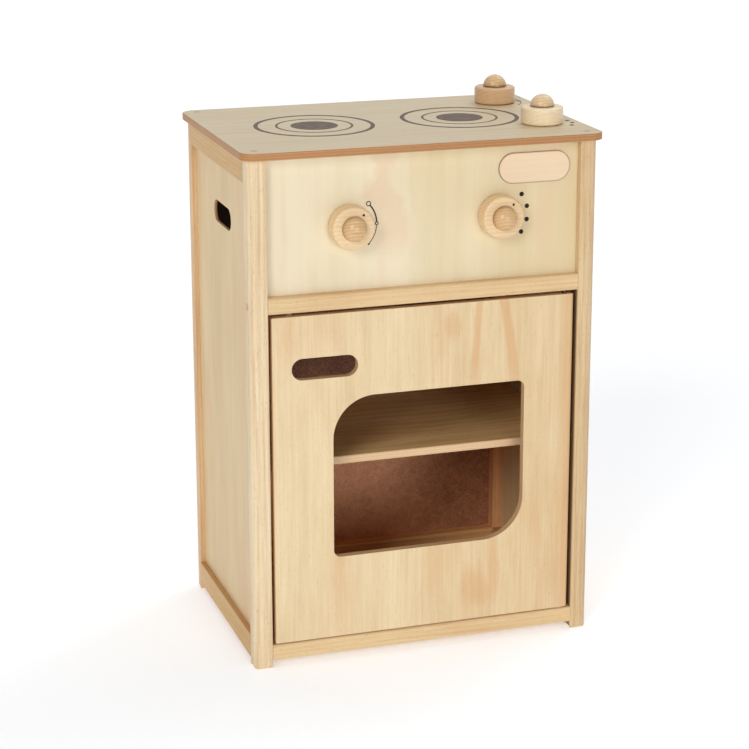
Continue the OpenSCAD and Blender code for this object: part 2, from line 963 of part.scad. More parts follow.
placed() front_left_post();
placed() front_right_post();
placed() rear_left_post();
placed() rear_right_post();
placed() middle_front_rail();
placed() bottom_front_rail();
placed() left_top_side_rail();
placed() left_bottom_side_rail();
placed() right_top_side_rail();
placed() right_bottom_side_rail();
placed() top_rear_rail();
placed() bottom_rear_rail();
placed() left_side_panel();
placed() right_side_panel();
placed() back_panel();
placed() floor_board();
placed() shelf();
placed() control_panel();
placed() top_board();
placed() name_plate();
placed() door();
placed() upper_hinge_pin();
placed() lower_hinge_pin();
placed() hinge_washer();
placed() door_stop_peg();
placed() left_panel_dial();
placed() right_panel_dial();
placed() front_top_dial();
placed() rear_top_dial();
placed() left_panel_pointer();
placed() right_panel_pointer();
placed() front_top_pointer();
placed() rear_top_pointer();
placed() left_panel_peg();
placed() right_panel_peg();
placed() front_top_peg();
placed() rear_top_peg();
placed() left_burner_print();
placed() right_burner_print();
placed() left_dial_arc();
placed() right_dial_dots();
placed() rear_dial_arc();
placed() front_dial_dots();
placed() top_board_dowels();
placed() rail_dowels();
placed() back_panel_nails();
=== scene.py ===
# Wooden toy oven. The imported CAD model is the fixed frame. The wooden pieces are modelled again over it, with
# eased edges and grain. The prints, dowels, stop peg, pins, nails, washer and floor board keep their CAD
# meshes and get their finish here.
import math

import bmesh
import bpy
from mathutils import Matrix, Vector


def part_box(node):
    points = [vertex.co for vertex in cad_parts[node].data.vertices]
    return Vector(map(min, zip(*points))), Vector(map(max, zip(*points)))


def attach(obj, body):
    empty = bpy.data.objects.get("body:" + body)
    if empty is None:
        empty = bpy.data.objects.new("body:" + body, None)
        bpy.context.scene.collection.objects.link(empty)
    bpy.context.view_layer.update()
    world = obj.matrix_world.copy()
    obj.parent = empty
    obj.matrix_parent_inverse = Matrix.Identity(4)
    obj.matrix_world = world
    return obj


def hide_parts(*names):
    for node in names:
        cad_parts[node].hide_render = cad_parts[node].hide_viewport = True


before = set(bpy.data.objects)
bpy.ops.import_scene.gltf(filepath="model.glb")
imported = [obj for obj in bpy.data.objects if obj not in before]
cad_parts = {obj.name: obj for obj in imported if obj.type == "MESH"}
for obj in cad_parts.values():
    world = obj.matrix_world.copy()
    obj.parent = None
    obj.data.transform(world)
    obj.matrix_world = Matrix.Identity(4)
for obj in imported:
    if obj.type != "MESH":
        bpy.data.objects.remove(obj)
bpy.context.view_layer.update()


# Corner posts. Four square sticks of pale rubberwood, with a wide rounding on the outer corner and rounded
# feet. The rails are dowelled between them, and both side panels stand in grooves along them.
mm = 0.001
outer_corner = 10 * mm
small_corner = 1.5 * mm
foot_rounding = 3.5 * mm
groove_room = 0.1 * mm
hair = 0.005 * mm
top_dowel_bore = 3.55 * mm
rail_dowel_bore = 4.05 * mm
rail_dowel_reach = 21 * mm


def only(piece):
    """Leaves one object selected and active, in object mode."""
    if bpy.context.object and bpy.context.object.mode != "OBJECT":
        bpy.ops.object.mode_set(mode="OBJECT")
    bpy.ops.object.select_all(action="DESELECT")
    if piece:
        piece.select_set(True)
        bpy.context.view_layer.objects.active = piece


def start_board(name, low, high):
    """Adds a block that fills the space between two corners."""
    only(None)
    low, high = Vector(low), Vector(high)
    bpy.ops.mesh.primitive_cube_add(size=1, location=(low + high) / 2, scale=high - low)
    bpy.ops.object.transform_apply(location=True, rotation=True, scale=True)
    piece = bpy.context.object
    piece.name = piece.data.name = name
    return piece


def round_edges(piece, radius, steps, along, wanted):
    """Rounds the sharp edges that run along one axis and whose middle is wanted."""
    only(piece)
    bpy.ops.object.mode_set(mode="EDIT")
    bpy.ops.mesh.select_mode(type="EDGE")
    bpy.ops.mesh.select_all(action="DESELECT")
    shape = bmesh.from_edit_mesh(piece.data)
    for edge in shape.edges:
        first, second = (corner.co for corner in edge.verts)
        run = (second - first).normalized()
        runs_along = abs(run["xyz".index(along)]) > 0.99
        if edge.calc_face_angle(0) > 1 and runs_along and wanted((first + second) / 2):
            edge.select_set(True)
    bmesh.update_edit_mesh(piece.data)
    bpy.ops.mesh.bevel(offset=radius, segments=steps, affect="EDGES")
    bpy.ops.object.mode_set(mode="OBJECT")


def apply_modifier(piece, name, kind, **settings):
    """Adds a modifier, sets it and applies it."""
    only(piece)
    modifier = piece.modifiers.new(name, kind)
    for key, value in settings.items():
        setattr(modifier, key, value)
    bpy.ops.object.modifier_apply(modifier=modifier.name)


def cut(piece, cutter, operation="DIFFERENCE"):
    """Cuts a piece with another one, or keeps what both share, and clears the cutter away."""
    apply_modifier(piece, "cut", "BOOLEAN", object=cutter, operation=operation, solver="EXACT")
    bpy.data.meshes.remove(cutter.data)


def groove_for(piece, node):
    """Cuts the housing of another CAD board into a piece."""
    low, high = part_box(node)
    margin = Vector((groove_room, groove_room, groove_room))
    cut(piece, start_board("housing", Vector(low) - margin, Vector(high) + margin))


def bore(piece, radius, start, end):
    """Bores a round hole along the axis on which the two ends differ."""
    start, end = Vector(start), Vector(end)
    run = end - start
    only(None)
    bpy.ops.mesh.primitive_cylinder_add(vertices=48, radius=radius, depth=run.length,
                                        location=(start + end) / 2,
                                        rotation=run.to_track_quat("Z", "Y").to_euler())
    bpy.ops.object.transform_apply(location=True, rotation=True, scale=True)
    cut(piece, bpy.context.object)


def sand(piece, easing, steps=2):
    """Eases every edge that is still sharp, as sanding does."""
    apply_modifier(piece, "eased_edges", "BEVEL", width=easing, segments=steps, limit_method="ANGLE",
                   angle_limit=math.radians(50), use_clamp_overlap=True)


def shade(piece):
    """Shades the roundings smooth and keeps the flat faces flat."""
    only(piece)
    bpy.ops.object.shade_smooth_by_angle(angle=math.radians(38))
    apply_modifier(piece, "even_shading", "WEIGHTED_NORMAL", keep_sharp=True)


def fit(piece, node, body, finish):
    """Puts the finish on a piece and lets it stand for its CAD node."""
    piece.data.materials.clear()
    piece.data.materials.append(finish)
    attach(piece, body)
    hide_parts(node)


def paint(red, green, blue):
    """A colour given as on a screen, from 0 to 255, turned into light."""
    parts = (red / 255, green / 255, blue / 255)
    light = [part / 12.92 if part <= 0.04045 else ((part + 0.055) / 1.055) ** 2.4 for part in parts]
    return (*light, 1.0)


def shaded(colour, share):
    """A colour with only a share of its light left."""
    return tuple(share * part for part in colour[:3]) + (1.0,)


class Value:
    """A socket of a material. Sums and products of it, written as such, become Math nodes."""

    def __init__(self, tree, socket):
        self.tree, self.socket = tree, socket

    def math(self, operation, *terms):
        node = self.tree.nodes.new("ShaderNodeMath")
        node.operation = operation
        for place, term in enumerate(terms):
            if isinstance(term, Value):
                self.tree.links.new(term.socket, node.inputs[place])
            else:
                node.inputs[place].default_value = term
        return Value(self.tree, node.outputs[0])

    def __add__(self, other):
        return self.math("ADD", self, other)

    def __radd__(self, other):
        return self.math("ADD", other, self)

    def __sub__(self, other):
        return self.math("SUBTRACT", self, other)

    def __rsub__(self, other):
        return self.math("SUBTRACT", other, self)

    def __mul__(self, other):
        return self.math("MULTIPLY", self, other)

    def __rmul__(self, other):
        return self.math("MULTIPLY", other, self)

    def __abs__(self):
        return self.math("ABSOLUTE", self)


class Finish:
    """A material in the making."""

    def __init__(self, name):
        self.material = bpy.data.materials.new(name)
        self.material.use_nodes = True
        self.tree = self.material.node_tree
        self.tree.nodes.clear()

    def add(self, kind, settings, sockets, output=0):
        """Adds a node: its settings first, then the values or links of its sockets."""
        node = self.tree.nodes.new("ShaderNode" + kind)
        for key, value in settings.items():
            setattr(node, key, value)
        for key, value in sockets.items():
            if isinstance(value, Value):
                self.tree.links.new(value.socket, node.inputs[key])
            else:
                node.inputs[key].default_value = value
        return Value(self.tree, node.outputs[output]) if node.outputs else None

    def spot(self):
        """The place on the piece, in metres."""
        return self.add("TexCoord", {}, {}, "Object")

    def parts(self, place, axes="XYZ"):
        """What a place measures along some of the axes."""
        return [self.add("SeparateXYZ", {}, {0: place}, axis) for axis in axes]

    def stretched(self, place, scale):
        """A place scaled by its own number on each axis."""
        return self.add("VectorMath", {"operation": "MULTIPLY"}, {0: place, 1: scale})

    def noise(self, place, scale, detail=2.0, roughness=0.5, **more):
        """Cloudy noise, about -0.5 to 0.5."""
        sockets = {"Vector": place, "Scale": scale, "Detail": detail, "Roughness": roughness, **more}
        return self.add("TexNoise", {}, sockets) - 0.5

    def between(self, factor, first, second):
        """A colour between two colours."""
        return self.add("Mix", {"data_type": "RGBA"}, {0: factor, 6: first, 7: second}, 2)

    def ramp(self, value, start, end, low=0.0, high=1.0):
        """Goes smoothly from low to high while the value goes from start to end."""
        sockets = {0: value, 1: start, 2: end, 3: low, 4: high}
        return self.add("MapRange", {"interpolation_type": "SMOOTHSTEP"}, sockets)

    def surface(self, colour, roughness, bumps=None, bump_depth=0.1, **constants):
        """Ends the material with its shader and its output. The depth of the bumps is in millimetres."""
        sockets = {"Base Color": colour, "Roughness": roughness}
        sockets.update({key.replace("_", " "): value for key, value in constants.items()})
        if bumps:
            relief = {"Strength": 0.6, "Distance": bump_depth * mm, "Height": bumps}
            sockets["Normal"] = self.add("Bump", {}, relief)
        shader = self.add("BsdfPrincipled", {}, sockets)
        self.add("OutputMaterial", {}, {"Surface": shader})
        return self.material


def wood(name, grain, pale, deep, warm, stack, spacing, bends, bend_width, shift=(0, 0, 0), lines=0.25,
         streaks=0.5, clouds=0.6, pores=0.3, layers=None, edge_pale=None, edge_deep=None, plies=0.55,
         marks=None, gloss=0.46, varnish=0.0):
    """Sawn wood or veneer. Its grain runs along one axis, and its colours are the pale wood, the deeper lines
    in it and the warmer patches. The growth lines are stacked on the two axes across the grain and stand
    spacing millimetres apart. Bends gives how many of them a bend in the grain crosses, and bend_width how
    wide such a bend is. The shift, in millimetres, gives each piece its own part of the pattern. Where layers
    names the axis of a plywood's thickness, its edges show the plies. Marks is a function that gives more
    depth, more warmth and a dark mark for a place in millimetres, shifted as the pattern is; that dark mark is
    a real scorch on some pieces and painted shade on others."""
    pale, deep, warm = (paint(*colour) for colour in (pale, deep, warm))
    finish = Finish(name)
    spot = finish.spot()
    place = finish.add("VectorMath", {"operation": "MULTIPLY_ADD"}, {0: spot, 1: (1 / mm,) * 3, 2: shift})
    axis = "xyz".index(grain)
    others = [i for i in range(3) if i != axis]

    def drawn(across, along, detail=2.0, roughness=0.5):
        """Noise drawn out along the grain, with the size of its blotches in millimetres."""
        scale = [1 / across] * 3
        scale[axis] = 1 / along
        return finish.noise(finish.stretched(place, scale), 1.0, detail, roughness)

    broad = drawn(58, 330)
    cloud = drawn(24, 95, 3)
    streak = drawn(2.6, 130, 3, 0.6)
    fibre = drawn(0.7, 26, 2, 0.6)
    normal = [0, 0, 0]
    normal[others[0]], normal[others[1]] = (part / spacing for part in stack)
    count = finish.add("VectorMath", {"operation": "DOT_PRODUCT"}, {0: place, 1: normal}, "Value")
    turns = (count + drawn(bend_width, 6 * bend_width, 1, 0.4) * bends + streak * 0.25) * (2 * math.pi)
    ring = finish.ramp(turns.math("SINE", turns), -0.2, 1.0)
    depth = 0.36 + broad * clouds + cloud * (0.55 * clouds) + streak * streaks + fibre * (0.6 * streaks)
    depth = depth + (ring - 0.4) * (cloud * 2.6 + 1.0) * lines
    warmth = finish.ramp(drawn(41, 240, 2) + cloud * 0.35, 0.02, 0.34)
    if marks:
        # The third value is a dark mark: painted shade in the door gap and around the feet of the domes, scorch
        # and painted shade on the plate's rim.
        extra_depth, extra_warmth, stain = marks(finish, place)
        depth = depth + extra_depth
        warmth = warmth.math("MAXIMUM", warmth, extra_warmth)
    colour = finish.between(depth, pale, deep)
    colour = finish.between(warmth * 0.7, colour, warm)
    pore = finish.ramp(drawn(0.55, 7, 1, 0.4), 0.14, 0.26)
    colour = finish.between(pore * pores, colour, shaded(deep, 0.5))
    relief = fibre * 0.5 + streak * 0.5 - pore * 0.6
    if layers:
        side = finish.add("TexCoord", {}, {}, "Normal")
        lean = finish.parts(side, layers.upper())[0]
        edge = finish.ramp(abs(lean), 0.78, 0.93, 1.0, 0.0)
        depth_in = finish.parts(place, layers.upper())[0]
        ply = depth_in * (2 * math.pi / 2.9) + drawn(9, 9, 1) * 0.8
        ply = finish.ramp(ply.math("SINE", ply), -0.35, 0.35)
        end_grain = finish.noise(place, 0.9, 3.0)
        edge_tone = ply * plies + end_grain * 0.9 + broad * 0.5 + (0.5 - 0.5 * plies) * 0.6
        edge_colour = finish.between(edge_tone, paint(*edge_pale), paint(*edge_deep))
        colour = finish.between(edge, colour, edge_colour)
    if marks:
        # Lays the dark mark over the edges as well: painted shade, and on the plate's rim scorch as well.
        colour = finish.between(stain, colour, shaded(deep, 0.2))
    roughness = gloss + streak * 0.16 + cloud * 0.08 + pore * 0.1
    return finish.surface(colour, roughness, relief, 0.12, Specular_IOR_Level=0.42, Coat_Weight=varnish,
                          Coat_Roughness=0.25)


def door_gap_shade(finish, place):
    """Painted shade on the inner face of the right post, in the gap where the edge of the door closes against
    it.
    """
    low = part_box("front_right_post")[0]
    across, along, height = finish.parts(place)
    inner = finish.ramp(across, low[0] / mm + 0.2, low[0] / mm + 0.8, 1.0, 0.0)
    behind = finish.ramp(along, low[1] / mm + 2.2, low[1] / mm + 4.2)
    # Painted shade: darkens the inner face behind its front edge and below the middle rail.
    return 0.0, 0.0, inner * behind * finish.ramp(height, 388.0, 393.0, 0.8, 0.0)


post_middles = []
dowel_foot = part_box("top_board_dowels")[0][2]
dowel_level = sum(corner[2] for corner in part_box("rail_dowels")) / 2
# Each post has its own copy of the wood. The front right post's copy is deeper than the front left one's, as
# painted shade, and the rear right post's is brighter and warmer, as painted light for the dim inside where it
# shows.
for node, pale, deep, warm, shift, marks in (
        ("front_left_post", (236, 215, 177), (197, 158, 112), (217, 171, 131), (31, 12, 7), None),
        ("rear_left_post", (230, 197, 153), (192, 147, 102), (207, 157, 112), (64, 0, 90), None),
        ("front_right_post", (222, 196, 153), (186, 144, 96), (203, 157, 113), (0, 0, 0), door_gap_shade),
        ("rear_right_post", (253, 195, 139), (211, 145, 91), (228, 155, 102), (0, 40, 30), None)):
    post_wood = wood(node + "_wood", "z", pale, deep, warm, shift=shift, stack=(1, 0.35), spacing=6.5,
                     bends=2.2, bend_width=45, lines=0.15, streaks=1.15, clouds=0.9, pores=0.5, marks=marks)
    end, side = node.split("_")[:2]
    left, front = side == "left", end == "front"
    low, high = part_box(node)
    middle = (Vector(low) + Vector(high)) / 2
    post = start_board(node.replace("_post", "_corner_post"), low, high)
    round_edges(post, outer_corner, 14, "z",
                lambda spot: (spot.x < middle.x) == left and (spot.y < middle.y) == front)
    round_edges(post, small_corner, 4, "z", lambda spot: True)
    foot = start_board("foot", Vector(low) - Vector((hair, hair, 0)), Vector(high) + Vector((hair, hair, mm)))
    round_edges(foot, foot_rounding, 6, "x", lambda spot: spot.z < middle.z)
    round_edges(foot, foot_rounding, 6, "y", lambda spot: spot.z < middle.z)
    cut(post, foot, "INTERSECT")
    groove_for(post, side + "_side_panel")
    groove_for(post, "control_panel" if front else "back_panel")
    bore(post, top_dowel_bore, (middle.x, middle.y, dowel_foot), (middle.x, middle.y, high[2] + mm))
    if front:
        bore(post, rail_dowel_bore, (middle.x - rail_dowel_reach, middle.y, dowel_level),
             (middle.x + rail_dowel_reach, middle.y, dowel_level))
    post_middles.append((middle.x, middle.y))
    shade(post)
    fit(post, node, "cabinet", post_wood)


# Front rails. Two sticks of the same wood between the front posts, above and below the door, glued and
# dowelled, with their two front edges rounded over.
rail_rounding = 3 * mm
rail_easing = 0.4 * mm

front_rail_wood = wood("front_rail_wood", "x", (233, 205, 158), (195, 155, 103), (212, 165, 117),
                       shift=(5, 60, 11), stack=(0.3, 1), spacing=5.5, bends=2.4, bend_width=45,
                       lines=0.12, streaks=0.8, clouds=0.6, pores=0.45)
for node, housed in (("middle_front_rail", "control_panel"), ("bottom_front_rail", "floor_board")):
    low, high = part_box(node)
    rail = start_board(node.replace("_rail", "_crossbar"), low, high)
    round_edges(rail, rail_rounding, 6, "x", lambda spot: spot.y < low[1] + mm)
    sand(rail, rail_easing)
    groove_for(rail, housed)
    shade(rail)
    fit(rail, node, "cabinet", front_rail_wood)


# Side rails. Four sticks from front post to rear post, flush with the outer faces of the posts, with a
# groove in one edge for the side panel.
side_rail_easing = 0.7 * mm

side_rail_wood = wood("side_rail_wood", "y", (221, 181, 116), (184, 137, 75), (199, 143, 84),
                      shift=(80, 3, 40), stack=(0.4, 1), spacing=6, bends=3.0, bend_width=45,
                      lines=0.14, streaks=0.6, clouds=0.7, pores=0.4, layers="x",
                      edge_pale=(204, 156, 98), edge_deep=(162, 114, 66), plies=0.0)
for side in ("left", "right"):
    for level in ("top", "bottom"):
        node = side + "_" + level + "_side_rail"
        low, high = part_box(node)
        rail = start_board(node.replace("_rail", "_bar"), low, high)
        sand(rail, side_rail_easing, 3)
        groove_for(rail, side + "_side_panel")
        if level == "bottom":
            groove_for(rail, "floor_board")
        shade(rail)
        fit(rail, node, "cabinet", side_rail_wood)


# Rear rails. Two thinner sticks between the rear posts that carry the back panel. The edge that shows
# inside the oven is rounded over.
# The rear rails' wood is brighter and warmer than the front rails', as painted light for the dim inside where
# they show.
rear_rail_wood = wood("rear_rail_wood", "x", (250, 200, 140), (206, 145, 92), (226, 153, 102),
                      shift=(140, 8, 90), stack=(0.4, 1), spacing=6, bends=2.4, bend_width=45,
                      lines=0.3, streaks=0.8, clouds=0.6, pores=0.45)
for node, upper in (("top_rear_rail", False), ("bottom_rear_rail", True)):
    low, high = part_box(node)
    middle = (Vector(low) + Vector(high)) / 2
    rail = start_board(node.replace("_rail", "_crossbar"), low, high)
    round_edges(rail, rail_rounding, 6, "x",
                lambda spot: spot.y < low[1] + mm and (spot.z > middle.z) == upper)
    sand(rail, rail_easing)
    if upper:
        groove_for(rail, "floor_board")
    shade(rail)
    fit(rail, node, "cabinet", rear_rail_wood)


# Side panels. Thin plywood with an upright grain, let into the posts and the side rails. Each has a round
# ended hand hole near the top, with its rim sanded.
hole_length, hole_height = 72 * mm, 23.4 * mm
hole_forward = 3 * mm
hole_below_rail = 44.3 * mm
side_panel_easing = 0.6 * mm

side_ply = wood("side_ply", "z", (234, 207, 158), (203, 171, 120), (228, 182, 139),
                shift=(7, 210, 30), stack=(0.2, 1), spacing=15, bends=4.0, bend_width=60,
                lines=0.06, streaks=0.3, clouds=1.0, pores=0.14, layers="x",
                edge_pale=(206, 166, 118), edge_deep=(150, 104, 66))


def slot_cutter(axis, centre, length, height):
    """A cutter with round ends that passes through a panel along one axis."""
    half = Vector((length / 2, length / 2, height / 2))
    half["xyz".index(axis)] = 10 * mm
    cutter = start_board("slot_cutter", Vector(centre) - half, Vector(centre) + half)
    round_edges(cutter, height / 2 - 0.02 * mm, 20, axis, lambda spot: True)
    return cutter


hole_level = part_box("left_top_side_rail")[0][2] - hole_below_rail - hole_height / 2
for side in ("left", "right"):
    node = side + "_side_panel"
    low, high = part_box(node)
    panel = start_board(side + "_wall", low, high)
    hole_middle = ((low[0] + high[0]) / 2, (low[1] + high[1]) / 2 - hole_forward, hole_level)
    cut(panel, slot_cutter("x", hole_middle, hole_length, hole_height))
    sand(panel, side_panel_easing)
    groove_for(panel, "shelf")
    shade(panel)
    fit(panel, node, "cabinet", side_ply)


# Back panel. Red-brown hardboard, pressed from wood fibre, nailed into the rebates of the rear posts. Its
# inner face is painted lighter than its outer face, as painted light for the dim inside of the oven, and on
# that face painted shade darkens it to the right and above the shelf and makes it nearly black behind the
# control panel.
back_easing = 0.3 * mm

low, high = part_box("back_panel")
board = start_board("rear_wall", low, high)
sand(board, back_easing)
shade(board)

hardboard = Finish("pressed_hardboard")
spot = hardboard.spot()
speck = hardboard.noise(spot, 620.0, 3.0, 0.7)
felt = hardboard.noise(spot, 95.0, 4.0, 0.65, Distortion=1.2)
stain = hardboard.noise(spot, 14.0, 3.0)
across, along, height = hardboard.parts(spot)
inner_face = hardboard.ramp(along, low[1] + 0.5 * mm, low[1] + 1.5 * mm, 1.0, 0.0)
shade_to_the_right = hardboard.ramp(across, 20 * mm, 170 * mm, 0.0, 0.42)
shade_above_shelf = hardboard.ramp(height, 190 * mm, 250 * mm, 0.0, 0.6)
shade_behind_controls = hardboard.ramp(height, 395 * mm, 425 * mm, 0.0, 0.9)
tone = 0.78 + speck + felt * 0.6 + stain * 0.4
# Painted light and shade: the inner face keeps the lighter tone, darkened to the right and above the shelf; the
# outer face is a deeper brown.
tone = tone - inner_face * (shade_to_the_right + shade_above_shelf) - (1.0 - inner_face) * 0.5
brown = hardboard.between(tone, paint(112, 62, 38), paint(248, 182, 138))
# Painted shade: nearly black on the inner face behind the control panel.
brown = hardboard.between(inner_face * shade_behind_controls, brown, paint(26, 17, 12))
hardboard_brown = hardboard.surface(brown, 0.5 + felt * 0.3, speck * 0.6 + felt * 0.5, 0.15,
                                    Specular_IOR_Level=0.4)
fit(board, "back_panel", "cabinet", hardboard_brown)


# Floor board and shelf. Plywood with the grain from side to side. The floor lies in grooves of the bottom
# rails; the shelf slides into a shallow groove of each side panel and has a rounded front edge.
shelf_rounding = 1.5 * mm
shelf_easing = 0.4 * mm


def colour_node(node, finish):
    """Puts a finish on a CAD node that keeps its own mesh."""
    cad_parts[node].material_slots[0].material = finish


shelf_ply = wood("shelf_ply", "x", (254, 211, 148), (216, 158, 99), (236, 175, 116),
                 shift=(19, 33, 260), stack=(1, 0.2), spacing=16, bends=6.0, bend_width=50,
                 lines=0.3, streaks=0.7, clouds=1.0, pores=0.45, layers="z",
                 edge_pale=(228, 196, 154), edge_deep=(206, 164, 120), plies=0.25)
low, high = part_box("shelf")
shelf = start_board("oven_shelf", low, high)
round_edges(shelf, shelf_rounding, 4, "x", lambda spot: spot.y < low[1] + mm)
sand(shelf, shelf_easing)
shade(shelf)
fit(shelf, "shelf", "cabinet", shelf_ply)

# The floor board's plywood is a much darker copy of the shelf's, as painted shade for the floor of the oven.
floor_ply = wood("floor_ply", "x", (186, 138, 92), (140, 92, 58), (164, 104, 68),
                 shift=(70, 20, 110), stack=(1, 0.2), spacing=16, bends=6.0, bend_width=50,
                 lines=0.3, streaks=0.7, clouds=1.0, pores=0.45, layers="z",
                 edge_pale=(190, 150, 108), edge_deep=(150, 108, 72))
colour_node("floor_board", floor_ply)


# Control panel. A very pale plywood board with upright grain and a faint pink patch near its middle, let
# into the posts and the middle rail behind the dials.
control_easing = 0.3 * mm
peg_bore = 5.05 * mm
dial_places = {name: [(a + b) / 2 for a, b in zip(*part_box(name))]
               for name in ("left_panel_dial", "right_panel_dial", "front_top_dial", "rear_top_dial")}


def panel_patches(finish, place):
    """A pink patch to the left of the middle, and yellower wood to the right of a wavering line."""
    across, height = finish.parts(place, "XZ")
    cloudy = finish.noise(place, 0.028, 3.0)
    wavering = across + cloudy * 70 + (height - 480) * 0.12
    patch = finish.ramp(abs(wavering + 40), 6.0, 22.0, 1.0, 0.0) * finish.ramp(height, 430.0, 468.0)
    yellower = finish.ramp(wavering, -60.0, 20.0, -0.16, 0.2) + finish.ramp(across, 20.0, 180.0, 0.0, 0.22)
    return yellower, patch * 0.8, 0.0


control_ply = wood("control_ply", "z", (236, 224, 195), (214, 190, 142), (224, 192, 158),
                   stack=(1, 0.2), spacing=22, bends=3.0, bend_width=80,
                   lines=0.05, streaks=0.16, clouds=0.55, pores=0.06, layers="y",
                   edge_pale=(206, 166, 118), edge_deep=(150, 104, 66), marks=panel_patches)
low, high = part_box("control_panel")
panel = start_board("control_board", low, high)
sand(panel, control_easing)
for name in ("left_panel_dial", "right_panel_dial"):
    x, y, z = dial_places[name]
    bore(panel, peg_bore, (x, low[1] - mm, z), (x, high[1] + mm, z))
shade(panel)
fit(panel, "control_panel", "cabinet", control_ply)


# Top board. Greyish plywood with rounded corners that stands in for a hob, painted a little deeper than the
# control panel's pale plywood as painted shade for its top. It is held down on the posts by dowels, and its
# edge shows the brown plies all round.
top_corner = 15 * mm
top_easing = 1.1 * mm
dowel_hole = 3.6 * mm

hob_ply = wood("hob_ply", "x", (219, 202, 169), (190, 170, 134), (210, 183, 145),
               shift=(11, 0, 21), stack=(1, 0.2), spacing=18, bends=3.0, bend_width=70,
               lines=0.12, streaks=0.34, clouds=0.5, pores=0.15, layers="z",
               edge_pale=(192, 138, 85), edge_deep=(142, 95, 55), plies=0.3)
low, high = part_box("top_board")
board = start_board("hob_board", low, high)
round_edges(board, top_corner, 20, "z", lambda spot: True)
sand(board, top_easing, 3)
for x, y in post_middles:
    bore(board, dowel_hole, (x, y, low[2] - mm), (x, y, high[2] + mm))
for name in ("front_top_dial", "rear_top_dial"):
    x, y, z = dial_places[name]
    bore(board, peg_bore, (x, y, low[2] - mm), (x, y, high[2] + mm))
shade(board)
fit(board, "top_board", "cabinet", hob_ply)


# Bare plate. A thin plate of pinkish wood with round ends and a scorched brown edge, glued to the control
# panel at its upper right.
plate_easing = 0.7 * mm

low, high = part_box("name_plate")
plate_end = (high[2] - low[2]) / 2


def scorched_and_shaded_rim(finish, place):
    """A brown line along the rim: partly the scorch a hot cutter leaves, partly painted shade on the rounded
    rim.
    """
    across, height = finish.parts(place, "XZ")
    along = abs(across - (low[0] + high[0]) / 2 / mm) - ((high[0] - low[0]) / 2 - plate_end) / mm
    along = along.math("MAXIMUM", along, 0.0)
    up = height - (low[2] + high[2]) / 2 / mm
    away = along * along + up * up
    away = away.math("SQRT", away)
    return 0.0, 0.0, finish.ramp(away, plate_end / mm - 1.6, plate_end / mm - 0.8, 0.0, 0.42)


plate_wood = wood("plate_wood", "x", (236, 212, 179), (226, 194, 157), (232, 200, 171),
                  stack=(0.3, 1), spacing=7, bends=1.6, bend_width=40,
                  lines=0.1, streaks=0.3, clouds=0.4, pores=0.08, layers="y",
                  edge_pale=(132, 96, 70), edge_deep=(92, 62, 44), plies=0.2, marks=scorched_and_shaded_rim)
plate = start_board("bare_plate", low, high)
round_edges(plate, plate_end - 0.02 * mm, 24, "y", lambda spot: True)
sand(plate, plate_easing, 3)
shade(plate)
fit(plate, "name_plate", "cabinet", plate_wood)


# Door. One plywood board with upright grain, hung on two steel pins at its right edge, which is rounded to
# clear the post. It has a window with two wide and two tight corners, and a finger slot.
hinge_edge = 4.4 * mm
free_edge = 1.5 * mm
upper_corner = 3 * mm
door_easing = 0.7 * mm
left_of_window, right_of_window = 65.5 * mm, 55.9 * mm
below_window, above_window = 90.4 * mm, 91.4 * mm
wide_corner, tight_corner = 46 * mm, 8 * mm
slot_to_side, slot_to_top = 21 * mm, 45.5 * mm
pin_bore = 2.55 * mm
pin_bore_depth = 18 * mm


def door_marks(finish, place):
    """Two orange streaks that run down from the upper edge, three orange patches, and a warmer band down the
    right edge."""
    across, height = finish.parts(place, "XZ")
    wander = finish.noise(finish.stretched(place, (1, 1, 0.3)), 0.05, 4.0, 0.6)
    down = 386 - height
    first = abs(across - 59 + down * 0.05 + wander * 8)
    second = abs(across - 88 - down * 0.16 + wander * 8)
    first = finish.ramp(first, 2.0, 5.5, 1.0, 0.0) * finish.ramp(down, 50.0, 110.0, 1.0, 0.0)
    second = finish.ramp(second, 3.0, 7.0, 1.0, 0.0) * finish.ramp(down, 50.0, 120.0, 1.0, 0.0)
    warm = (first + second) * 0.75 + finish.ramp(across, 148.0, 163.0, 0.0, 0.6)
    for x, z, wide, tall, strength in ((29, 362, 14, 20, 0.5), (58, 60, 22, 30, 0.6), (78, 84, 9, 46, 0.5)):
        spread = finish.stretched(place, (1 / wide, 0, 1 / tall))
        centre = (x / wide, 0, z / tall)
        away = finish.add("VectorMath", {"operation": "DISTANCE"}, {0: spread, 1: centre}, "Value")
        warm = warm + finish.ramp(away + wander * 2.2, 0.35, 1.1, strength, 0.0)
    return warm * 0.3 + finish.ramp(across, -80.0, 160.0, -0.12, 0.14) + wander * 0.45, warm, 0.0


door_ply = wood("door_ply", "z", (233, 211, 170), (203, 167, 118), (216, 167, 118),
                stack=(1, 0.2), spacing=13, bends=5.0, bend_width=62,
                lines=0.07, streaks=0.6, clouds=0.8, pores=0.25, layers="y",
                edge_pale=(228, 190, 142), edge_deep=(186, 142, 98), marks=door_marks)
low, high = (Vector(corner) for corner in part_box("door"))
middle = (low + high) / 2
door = start_board("oven_door", low, high)
round_edges(door, hinge_edge, 8, "z", lambda spot: spot.x > middle.x)
round_edges(door, free_edge, 4, "z", lambda spot: spot.x < middle.x)
room = Vector((0.005, 5, 0.005)) * mm
outline = start_board("door_outline", low - room, high + room)
round_edges(outline, upper_corner, 6, "y", lambda spot: spot.x > middle.x)
round_edges(outline, free_edge, 4, "y", lambda spot: spot.x < middle.x)
cut(door, outline, "INTERSECT")
window_low = Vector((low.x + left_of_window, low.y - 5 * mm, low.z + below_window))
window_high = Vector((high.x - right_of_window, high.y + 5 * mm, high.z - above_window))
window = start_board("window_cutter", window_low, window_high)
centre = (window_low + window_high) / 2
round_edges(window, wide_corner, 24, "y", lambda spot: (spot.x < centre.x) == (spot.z > centre.z))
